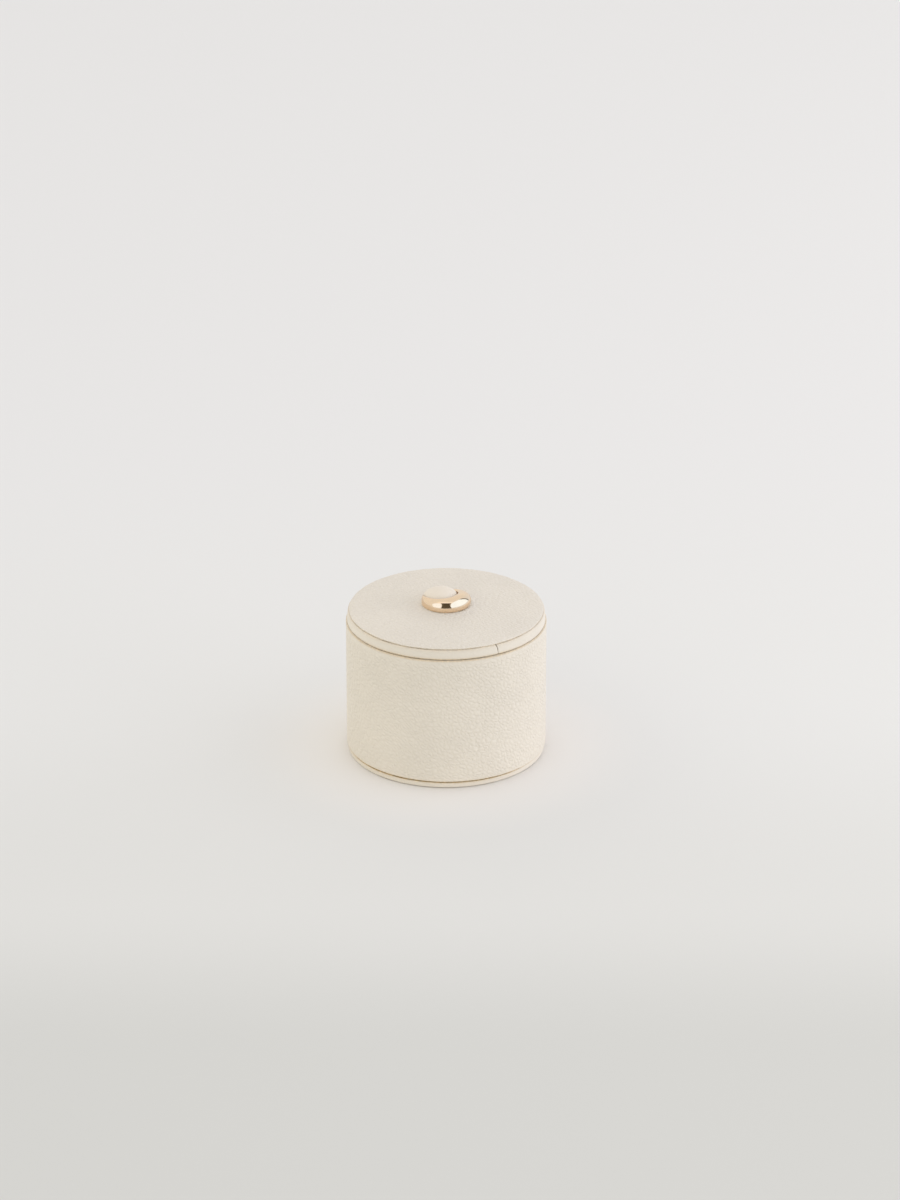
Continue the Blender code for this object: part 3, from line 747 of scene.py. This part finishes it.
def make_body_leather():
    radius, bottom, top = extent("body_wrap")
    bottom -= FOOT_DROP
    back = radius - WRAP_LEATHER
    turn_in_end = top - TURN_IN_DEPTH
    turn_in_back = MOUTH_RADIUS + TURN_IN_LEATHER
    corners = [
        Corner(radius, bottom, 0.35, GRAIN_STEP, 0.5),
        Corner(radius, bottom + 2.0, step=GRAIN_STEP, grain=1.0),
        Corner(radius, top - RIM_FADE, step=GRAIN_STEP, grain=1.0),
        Corner(radius, top, 0.6, GRAIN_STEP, 0.35),
        Corner(MOUTH_RADIUS, top, 0.6, 0.7, 0.35),
        Corner(MOUTH_RADIUS, turn_in_end, 0.15, 0.35, 0.5, 1.0),
        Corner(turn_in_back, turn_in_end, step=4.0),
        Corner(turn_in_back, top - WRAP_LEATHER, step=1.5),
        Corner(back, top - WRAP_LEATHER, step=8.0),
        Corner(back, bottom, step=0.3, raw=1.0),
    ]

    def shape(angle, r, z):
        low = 1 - ease((z - bottom) / FOOT_FADE)
        high = near(z, top, RIM_FADE)
        outside = ease((r - back) / WRAP_LEATHER)
        inside = 1 - ease((r - MOUTH_RADIUS) / TURN_IN_LEATHER)
        turned_in = inside * ease((top - 1.0 - z) / TURN_IN_FADE)
        pucker = turned_in * TURN_IN_PUCKER * wander(angle, 5, (23, 31, 44, 57))
        wave = WALL_WAVE * wander(angle, 3, (2, 3, 5, 7)) * outside * (1 - high) * (1 - low)
        foot = FOOT_WAVE * wander(angle, 92) + FOOT_OPEN * arc(angle, *FOOT_SEAM)
        return wave + pucker, foot * low + EDGE_WAVE * wander(angle, 2) * high

    # Painted warm shade over the raw edges, in the foot's seam and along the parting at the rim
    def stain_and_shade(angle, r, z):
        foot = edge_stain_and_shade(z - bottom, FOOT_STAIN_AND_SHADE, angle, 316)
        reach, share = RIM_STAIN_AND_SHADE
        rim = np.exp(-((z - top) / reach) ** 2) * ease((r - back) / WRAP_LEATHER) * share
        return foot * arc(angle, *FOOT_SEAM) + rim

    seam = Seam(CASE_SEAM_AT, lambda t: 0.22 + 0.06 * np.sin(9 * t), lambda t: 0.12 * np.sin(5 * t + 1))
    made = turned("body_leather", corners, FINE, seam=seam, shape=shape, stain_and_shade=stain_and_shade)
    dress(made, "leather", "case", "body_wrap")


def make_base_leather():
    radius, bottom, top = extent("base_cover")
    side = radius - BASE_LEATHER
    under = side - BASE_TURN_UNDER
    corners = [
        Corner(radius, bottom, 0.8, 0.25, 0.2),
        Corner(radius, top, 0.3, 0.2, 0.2, 0.9),
        Corner(side, top, step=0.8),
        Corner(side, bottom + BASE_LEATHER, step=1.5),
        Corner(under, bottom + BASE_LEATHER, step=0.3, raw=1.0),
        Corner(under, bottom, 0.1, 0.35, 0.3),
    ]

    def shape(angle, r, z):
        inward = ease((side - r) / BASE_TURN_UNDER)
        lower = ease((bottom + BASE_LEATHER - z) / BASE_LEATHER)
        pleat = -BASE_PLEAT * inward * lower * np.maximum(wander(angle, 11, (37, 43, 52)), 0.0)
        edge = EDGE_WAVE * wander(angle, 13) * near(z, top, BASE_FADE)
        return SIDE_WAVE * wander(angle, 12) * (1 - inward), pleat + edge

    # Painted warm shade over the base's raw top edge, in the foot's seam
    def stain_and_shade(angle, r, z):
        upper = edge_stain_and_shade(top - z, BASE_STAIN_AND_SHADE, angle, 106)
        return upper * arc(angle, *FOOT_SEAM) * ease((r - side) / BASE_LEATHER)

    seam = Seam(CASE_SEAM_AT, lambda t: 0.08, lambda t: 0.06 * np.sin(3 * t))
    made = turned("base_leather", corners, FINE, seam=seam, shape=shape, stain_and_shade=stain_and_shade)
    dress(made, "leather", "case", "base_cover")


def make_base_pad():
    radius, bottom, top = extent("base_pad")
    corners = [
        Corner(0.0, bottom, step=2.0),
        Corner(radius, bottom, 0.25, 0.4),
        Corner(radius, top, 0.2, 4.0),
        Corner(0.0, top),
    ]
    dress(turned("base_pad_suede", corners, SMOOTH, closed=False), "suede", "case", "base_pad")


def make_lining():
    bottom, top = extent("body_lining")[1:]
    well = extent("floor_cover")[0] + GLUE_LINE
    back = well + SUEDE
    corners = [
        Corner(back, bottom, step=9.0),
        Corner(back, top - SUEDE, step=0.4),
        Corner(LINING_FOLD, top - SUEDE, step=0.35),
        Corner(LINING_FOLD, top, 0.3, 0.4),
        Corner(well, top, 0.4, 0.8),
        Corner(well, bottom, step=0.35),
    ]

    def shape(angle, r, z):
        inside = 1 - ease((r - well) / SUEDE)
        ripple = wander(angle, 21, (5, 9, 14, 22)) * np.sin(z / RIPPLE_HEIGHT + wander(angle, 22, (2, 3)))
        fold = FOLD_WAVE * wander(angle, 23) * near(z, top, FOLD_FADE)
        return LINING_RIPPLE * ripple * inside * ease((top - z) / RIPPLE_FADE), fold

    seam = Seam(CASE_SEAM_AT, lambda t: 0.16, lambda t: 0.1 * np.sin(4 * t))
    made = turned("well_lining_suede", corners, SMOOTH, seam=seam, shape=shape)
    dress(made, "suede", "case", "body_lining")


def make_floor_cushion():
    """The suede over the floor's padding: one layer of cloth, swollen, then given its thickness."""
    radius, bottom, top = extent("floor_cover")
    edge = top - FLOOR_CROWN
    corners = [
        Corner(radius - FLOOR_TURN_UNDER, bottom, step=0.8),
        Corner(radius, bottom, FLOOR_SUEDE, 0.8),
        Corner(radius, edge, FLOOR_ROUND, 0.8),
    ] + crowned(radius - FLOOR_ROUND, edge, FLOOR_CROWN - FLOOR_SWELL, 1.0)

    def shape(angle, r, z):
        upper = ease((z - edge + FLOOR_ROUND) / 1.2)
        outward = ease((r - 0.4 * radius) / (0.5 * radius))
        return 0.0, CUSHION_PUCKER * wander(angle, 31, (5, 11, 17, 29, 38)) * outward * upper

    made = turned("floor_cushion_suede", corners, CUSHION_STEPS, closed=False, shape=shape)
    limit_swelling(made, swell(made, edge - HELD_SIDE), CUSHION_STEPS)
    thickness = made.modifiers.new("thickness", "SOLIDIFY")
    thickness.thickness = FLOOR_SUEDE * MM
    thickness.offset = -1.0
    softness = made.modifiers.new("softness", "SUBSURF")
    softness.levels = softness.render_levels = 1
    dress(made, "suede", "case", "floor_cover")


def limit_swelling(sheet, moved, steps):
    """Moves a turned sheet's points. Each ring rises by FLOOR_SWELL at most, and its puckers stay whole."""
    rest = np.array([vertex.co for vertex in sheet.data.vertices]) / MM
    points = (len(rest) - 1) // steps + 1
    column = np.concatenate([np.arange(points), np.tile(np.arange(points - 1), steps - 1)])
    away = rest[:, :2] / np.maximum(np.hypot(rest[:, 0], rest[:, 1]), 1e-6)[:, None]
    outward = (moved[:, :2] * away).sum(1)
    for point in range(points):
        ring = column == point
        spare_out = outward[ring].mean() - np.clip(outward[ring].mean(), -FLOOR_SWELL, 0.0)
        spare_up = moved[ring, 2].mean() - np.clip(moved[ring, 2].mean(), 0.0, FLOOR_SWELL)
        moved[ring, :2] -= spare_out * away[ring]
        moved[ring, 2] -= spare_up
    sheet.data.vertices.foreach_set("co", ((rest + moved) * MM).ravel())
    sheet.data.update()


def make_floor_padding():
    radius, bottom, top = extent("floor_foam")
    edge = top - FLOOR_CROWN - PUCKER_ROOM
    side = radius - PUCKER_ROOM
    corners = [
        Corner(0.0, bottom, step=3.0),
        Corner(side, bottom, 0.3, 0.6),
        Corner(side, edge, PADDING_ROUND, 1.0),
    ] + crowned(radius - PADDING_ROUND, edge, FLOOR_CROWN, 1.5)

    def shape(angle, r, z):
        outward = near(r, radius, PADDING_FADE)
        return -PADDING_DENT * np.abs(wander(angle, 41, (7, 12, 19))) * outward, 0.0

    made = turned("floor_padding", corners, PADDING_STEPS, closed=False, shape=shape)
    dress(made, "foam", "case", "floor_foam")


# Lid

def make_lid_band():
    radius, bottom, top = extent("lid_band")
    side = radius - BAND_LEATHER
    corners = [
        Corner(radius, bottom, 0.4, 0.25, 0.2),
        Corner(radius - BAND_LEAN, top, BAND_ROUND, 0.2, 0.15, 0.25),
        Corner(side - BAND_LEAN, top, step=0.8),
        Corner(side - BAND_LEAN / 2, bottom + BAND_FLANGE, step=1.2),
        Corner(BAND_BORE, bottom + BAND_FLANGE, step=0.2, raw=1.0),
        Corner(BAND_BORE, bottom, 0.1, 0.35, 0.25, 0.35),
    ]

    def shape(angle, r, z):
        upper = ease((z - bottom - BAND_FOLD) / BAND_FOLD)
        lower = 1 - upper
        inward = ease((side - r) / (side - BAND_BORE))
        pleat = -BAND_PLEAT * inward * lower * np.maximum(wander(angle, 51, (41, 47, 58)), 0.0)
        dip = BAND_DIP_DEPTH * arc(angle, *BAND_DIP)
        rise = BAND_WAVE * wander(angle, 52, (3, 5, 9, 15, 26, 41)) - dip
        wave = rise * upper + EDGE_WAVE * wander(angle, 53) * lower * (1 - inward)
        reach = BAND_REACH + LOW_RIGHT_DEPTH * arc(angle, *BAND_LOW_RIGHT)
        reach = reach + LOW_LEFT_DEPTH * arc(angle, *BAND_LOW_LEFT)
        return SIDE_WAVE * wander(angle, 54) * (1 - inward), pleat + wave - reach * lower

    # Painted warm shade over the band's raw edges, along the parting and under the lid's edge
    def stain_and_shade(angle, r, z):
        fold = edge_stain_and_shade(z - bottom, BAND_FOLD_STAIN_AND_SHADE, angle, 55)
        edge = edge_stain_and_shade(top - z, BAND_TOP_STAIN_AND_SHADE, angle, 56)
        return (fold + edge) * ease((r - side) / BAND_LEATHER) * arc(angle, *BAND_STAINED_AND_SHADED)

    def bend(height):
        return 0.5 - 0.85 * np.clip(height, 0, 1) ** 3

    seam = Seam(BAND_SEAM_AT, lambda t: 0.03 + 0.32 * ease(t / 0.6), bend)
    made = turned("lid_band_leather", corners, FINE, seam=seam, shape=shape, stain_and_shade=stain_and_shade)
    dress(made, "leather", "lid", "lid_band")


def make_lid_top():
    radius, bottom, top = extent("lid_cover")
    rim = bottom + COVER_RIM
    droop = bottom - COVER_DROOP
    lined_top = extent("lid_foam")[2] + GLUE_LINE
    under = domed(radius - COVER_SKIVE, bottom, lined_top, STUD_HOLE, COVER_UNDER_ROWS)[::-1]
    edge = [
        Corner(radius - 0.3, droop, step=0.2, grain=0.2, raw=0.8),
        Corner(radius, droop, 0.1, 0.15, 0.2, 0.3),
    ]
    corners = under + edge + domed(radius, rim, top, STUD_HOLE, COVER_ROWS, 0.8)

    def shape(angle, r, z):
        outward = near(r, radius, COVER_FADE)
        settle = COVER_WAVE * wander(angle, 61, (2, 3, 5)) * ease((r - SETTLED_FROM) / SETTLED_REACH)
        pressed = KNOB_SWELL * np.exp(-((r - KNOB_RADIUS + 0.3) / SWELL_REACH) ** 2)
        rise = COVER_EDGE_WAVE * wander(angle, 63) * outward + settle * (1 - outward) + pressed
        return COVER_WAVE * wander(angle, 62) * outward, rise

    made = turned("lid_top_leather", corners, FINE, shape=shape, flat_edge=rim)
    dress(made, "leather", "lid", "lid_cover")


def make_lid_padding():
    radius, bottom, top = extent("lid_foam")
    corners = [
        Corner(STUD_HOLE, bottom, step=3.0),
        Corner(radius, bottom, step=0.2),
    ] + domed(radius, bottom + PADDING_RIM, top, STUD_HOLE, PADDING_ROWS)
    made = turned("lid_padding", corners, PADDING_STEPS)
    dress(made, "foam", "lid", "lid_foam")


def make_plug_suede():
    radius, bottom, top = extent("plug_cover")
    inner = radius - SUEDE
    corners = [
        Corner(0.0, bottom, step=1.2),
        Corner(radius, bottom, 0.8, 0.5),
        Corner(radius, top, 0.2, 0.3),
        Corner(inner, top, step=2.0),
        Corner(inner, bottom + SUEDE, step=4.0),
        Corner(0.0, bottom + SUEDE),
    ]

    def shape(angle, r, z):
        side = ease((r - inner) / SUEDE)
        below = 1 - ease((z - bottom) / 0.5)
        pucker = -PLUG_PUCKER * (1 + wander(angle, 72, (13, 19, 27))) * side * ease((top - z) / 1.0)
        sag = PLUG_SAG * wander(angle, 71, (3, 5, 8)) * ease((radius - PLUG_RIM - r) / PLUG_RIM_FADE)
        return pucker, sag * ease(r / PLUG_MIDDLE) * below

    made = turned("plug_suede", corners, SMOOTH, closed=False, shape=shape)
    dress(made, "suede", "lid", "plug_cover")


# Knob

def knob_offset():
    """Place of the dome's centre from the knob's axis, in mm."""
    return KNOB_REACH * math.cos(KNOB_THIN_AT), KNOB_REACH * math.sin(KNOB_THIN_AT)


def crescent_section(azimuth, stud_end):
    """One section of the crescent and its stud, from the stud's end to the middle of the seat."""
    off_thin = azimuth - KNOB_THIN_AT
    across = KNOB_REACH * math.sin(off_thin)
    seat = KNOB_REACH * math.cos(off_thin) + math.sqrt(KNOB_BORE ** 2 - across ** 2)
    low_crest = KNOB_PLATE + KNOB_STEP
    share = max(KNOB_RADIUS - seat, 0.0) / (KNOB_RADIUS - KNOB_BORE + KNOB_REACH)
    taper = LONG_TAPER + (BLUNT_TAPER - LONG_TAPER) * float(ease((math.sin(off_thin) + 1) / 2))
    crest = low_crest + (KNOB_HEIGHT - low_crest) * share ** taper
    inner = min(seat, KNOB_RADIUS - KNOB_RIM)
    width = KNOB_RADIUS - inner
    wall_top = KNOB_PLATE + BORE_WALL * (crest - KNOB_PLATE)
    belly = BELLY * crest
    crest_at = inner + CREST_IN * width
    foot = KNOB_RADIUS - FOOT_IN * width
    points = [(0.0, stud_end), (STUD_RADIUS, stud_end), (STUD_RADIUS, 0.0), (foot - FOOT_ROW, 0.0)]
    for sine, cosine in quarter_turn(FOOT_PARTS)[:-1]:
        points.append((KNOB_RADIUS - FOOT_IN * width * (1 - cosine), belly * (1 - sine)))
    for sine, cosine in quarter_turn(FLANK_PARTS)[:-1]:
        along, up = sine ** FLANK_POWER, cosine ** FLANK_POWER
        points.append((crest_at + (KNOB_RADIUS - crest_at) * along, belly + (crest - belly) * up))
    for sine, cosine in quarter_turn(CREST_PARTS):
        points.append((crest_at - CREST_IN * width * cosine, wall_top + (crest - wall_top) * sine))
    points += [(inner, (wall_top + KNOB_PLATE) / 2), (inner, KNOB_PLATE), (0.0, KNOB_PLATE)]
    return points


def make_crescent():
    stud_end = extent("knob_ring")[1]
    foot = extent("knob_dome")[1] - GLUE_LINE - KNOB_PLATE
    azimuths = math.tau * np.arange(KNOB_STEPS) / KNOB_STEPS
    sections = np.array([crescent_section(azimuth, stud_end - foot) for azimuth in azimuths])
    r, z = sections[..., 0], sections[..., 1] + foot
    angle = np.broadcast_to(azimuths[:, None], r.shape)
    none = np.zeros_like(r)
    ring = loft("knob_crescent", angle, r, z, False, True, np.zeros((*r.shape, 3)), none, none)
    dress(ring, "gold", "lid", "knob_ring")


def make_dome():
    radius, bottom, top = extent("knob_dome")
    corners = [
        Corner(0.0, bottom, step=4.0),
        Corner(radius, bottom, 0.12, 0.3),
    ] + domed(radius, bottom + DOME_SIDE, top - DOME_FLAT, 0.0, DOME_ROWS)
    dome = turned("knob_dome_enamel", corners, KNOB_STEPS, closed=False, centre=knob_offset())
    dress(dome, "cabochon", "lid", "knob_dome")


def dress_cad_nodes():
    """Gives every CAD node that still shows the finish of its slot."""
    for row in frame["record"]["subparts"]:
        node = frame["nodes"][row["node"]]
        if not node.hide_render:
            node.data.materials.clear()
            node.data.materials.append(SLOT_MATERIALS[row["material_slot"]])


make_body_leather()
make_base_leather()
make_base_pad()
make_lining()
make_floor_cushion()
make_floor_padding()
make_lid_band()
make_lid_top()
make_lid_padding()
make_plug_suede()
make_crescent()
make_dome()
dress_cad_nodes()


# Studio

FLOOR_RADIUS = 6.0
FLOOR_STEPS = 96
FLOOR_FAR = (0.778, 0.770, 0.755)

# Along its depth the paper takes each colour between two places, in metres from the case's axis. The darker
# colours towards the front are painted shade, standing in for the light falling off there
FLOOR_SHADE_BANDS = (
    (-1.2, -0.5, (0.645, 0.642, 0.610)),
    (-0.245, -0.13, (0.728, 0.722, 0.692)),
    (-0.13, 0.05, (0.778, 0.772, 0.748)),
    (0.05, 0.35, FLOOR_FAR),
)
# Painted light: the paper close to the case is lightened and warmed, standing in for light bounced off the
# leather
FLOOR_PAINTED_BOUNCE = (0.835, 0.810, 0.775)  # the paper close to the case, warmed by it
FLOOR_PAINTED_BOUNCE_REACH = (0.036, 0.085)

# The room that lights the case: pale walls and a dimmer ceiling
ROOM_STRENGTH = 1.345
ROOM_LEFT = (1.0, 0.98, 0.875)
ROOM_RIGHT = (0.65, 0.665, 0.67)
CEILING_COLOUR = (0.56, 0.548, 0.645)
CEILING_FROM = 0.6  # sine of its height
BACKDROP_COLOUR = (0.79, 0.782, 0.768)

# What polished surfaces mirror of it, by sines: a wall, a wide window on each side and a dark gap in front
MIRRORED_LEFT = (0.86, 0.85, 0.82)
MIRRORED_RIGHT = (0.79, 0.87, 0.98)
MIRRORED_RIGHT_FROM = 0.8
MIRRORED_CEILING = (1.04, 1.04, 1.02)
MIRRORED_CEILING_FROM = (0.88, 0.98)
RIGHT_WINDOW = (1.08, 1.31, 1.60)
RIGHT_WINDOW_SILL = 0.15
RIGHT_WINDOW_BACK = 0.57
LEFT_WINDOW = (1.06, 1.19, 1.37)
LEFT_WINDOW_BACK = -0.5  # at its foot, and nearer the middle higher up
LEFT_WINDOW_LEAN = 0.45
POST_WIDTH = 0.08  # a dark post behind the right window
GAP_COLOUR = (0.09, 0.078, 0.053)
GAP_FOOT = 0.41  # half its width at its foot
GAP_NARROWING = 0.19
SHARP_EDGE = 0.03  # width of each shape's edge

# The soft window at the right, in metres and watts
LAMP_BEARING = math.radians(86)  # from straight ahead of the case, towards its right
LAMP_RISE = math.radians(12)
LAMP_DISTANCE = 1.30
LAMP_WIDTH = 2.2
LAMP_HEIGHT = 0.62
LAMP_POWER = 9.4
LAMP_COLOUR = (0.88, 0.88, 0.96)
LAMP_TARGET = (0.0, 0.0, 0.06)


def make_floor():
    vertices = [(0.0, 0.0, 0.0)]
    for step in range(FLOOR_STEPS):
        turn = math.tau * step / FLOOR_STEPS
        vertices.append((FLOOR_RADIUS * math.cos(turn), FLOOR_RADIUS * math.sin(turn), 0.0))
    faces = [(0, 1 + step, 1 + (step + 1) % FLOOR_STEPS) for step in range(FLOOR_STEPS)]
    mesh = bpy.data.meshes.new("studio_floor")
    mesh.from_pydata(vertices, [], faces)
    floor = add_object("studio_floor", mesh)
    graph = new_material("studio_paper")
    spot = graph.spot()
    depth = graph.add("ShaderNodeSeparateXYZ", {0: spot}).outputs["Y"]
    colour = FLOOR_FAR
    # painted shade: the paper darkens towards the front
    for start, end, band_shade_colour in FLOOR_SHADE_BANDS:
        colour = graph.mix(graph.span(depth, start, end), colour, band_shade_colour)
    away = graph.add("ShaderNodeVectorMath", {0: spot}, operation="LENGTH").outputs["Value"]
    # painted bounce light round the case's foot
    colour = graph.mix(graph.span(away, *FLOOR_PAINTED_BOUNCE_REACH, 1.0, 0.0), colour, FLOOR_PAINTED_BOUNCE)
    mesh.materials.append(graph.finish(Base_Color=colour, Roughness=0.9, Specular_IOR_Level=0.1))


def mirrored_room(graph, way):
    """The room's colour by direction, as polished surfaces mirror it."""
    half = graph.span(way["Z"], 0.0, 1.0, GAP_FOOT, GAP_FOOT - GAP_NARROWING, smooth=False)

    def past(value, edge):
        return graph.span(graph.math("SUBTRACT", value, edge), -SHARP_EDGE / 2, SHARP_EDGE / 2)

    def before(value, edge):
        return graph.math("SUBTRACT", 1.0, past(value, edge))

    aside = graph.math("ABSOLUTE", way["X"])
    beside = past(aside, graph.math("ADD", half, SHARP_EDGE))
    on_right, on_left = past(way["X"], 0.0), before(way["X"], 0.0)
    above_sill = past(way["Z"], RIGHT_WINDOW_SILL)
    right = graph.product(beside, on_right, above_sill, before(way["Y"], RIGHT_WINDOW_BACK))
    lean = graph.math("MULTIPLY_ADD", way["Z"], LEFT_WINDOW_LEAN, LEFT_WINDOW_BACK)
    left = graph.product(beside, on_left, past(way["Z"], 0.0), before(way["Y"], lean))
    post = graph.product(beside, on_right, above_sill, past(way["Y"], RIGHT_WINDOW_BACK),
                         before(way["Y"], RIGHT_WINDOW_BACK + POST_WIDTH))
    gap = graph.product(before(aside, half), before(way["Y"], 0.0), past(way["Z"], 0.0))
    room = graph.mix(graph.span(way["X"], 0.0, MIRRORED_RIGHT_FROM), MIRRORED_LEFT, MIRRORED_RIGHT)
    room = graph.mix(graph.span(way["Z"], *MIRRORED_CEILING_FROM), room, MIRRORED_CEILING)
    room = graph.mix(right, room, RIGHT_WINDOW)
    room = graph.mix(left, room, LEFT_WINDOW)
    return graph.mix(graph.math("MAXIMUM", gap, post), room, GAP_COLOUR)


def make_world():
    world = bpy.data.worlds.new("studio")
    bpy.context.scene.world = world
    world.use_nodes = True
    world.node_tree.nodes.clear()
    graph = Graph(world.node_tree)
    way = graph.add("ShaderNodeTexCoord", {}).outputs["Generated"]
    way = graph.add("ShaderNodeSeparateXYZ", {0: way}).outputs
    ray = graph.add("ShaderNodeLightPath", {}).outputs
    room = graph.mix(graph.span(way["X"], -1.0, 1.0, smooth=False), ROOM_LEFT, ROOM_RIGHT)
    room = graph.mix(graph.span(way["Z"], CEILING_FROM, 1.0), room, CEILING_COLOUR)
    room = graph.mix(ray["Is Glossy Ray"], graph.shade(room, ROOM_STRENGTH), mirrored_room(graph, way))
    room = graph.mix(ray["Is Camera Ray"], room, BACKDROP_COLOUR)
    light = graph.add("ShaderNodeBackground", {"Color": room})
    graph.add("ShaderNodeOutputWorld", {"Surface": light.outputs[0]})


def aim(thing, target):
    thing.rotation_mode = "QUATERNION"
    thing.rotation_quaternion = (Vector(target) - thing.location).to_track_quat("-Z", "Y")


def make_window():
    light = bpy.data.lights.new("window", "AREA")
    light.shape = "RECTANGLE"
    light.size, light.size_y = LAMP_WIDTH, LAMP_HEIGHT
    light.energy = LAMP_POWER
    light.color = LAMP_COLOUR
    lamp = add_object("window", light)
    flat = LAMP_DISTANCE * math.cos(LAMP_RISE)
    height = LAMP_DISTANCE * math.sin(LAMP_RISE)
    lamp.location = (flat * math.sin(LAMP_BEARING), -flat * math.cos(LAMP_BEARING), height)
    lamp.visible_camera = False
    lamp.visible_glossy = False
    aim(lamp, LAMP_TARGET)


CAMERA_PLACE = (0.0015, -1.638, 0.809)
CAMERA_TARGET = (0.0015, 0.0, 0.0640)
CAMERA_LENS = 135.7
SENSOR = 36.0


def make_camera():
    camera = bpy.data.cameras.new("camera")
    camera.lens = CAMERA_LENS
    camera.sensor_width = SENSOR
    camera.clip_start, camera.clip_end = 0.05, 60.0
    made = add_object("camera", camera)
    made.location = CAMERA_PLACE
    aim(made, CAMERA_TARGET)
    bpy.context.scene.camera = made


make_floor()
make_world()
make_window()
make_camera()

bpy.context.scene.view_settings.view_transform = "Standard"
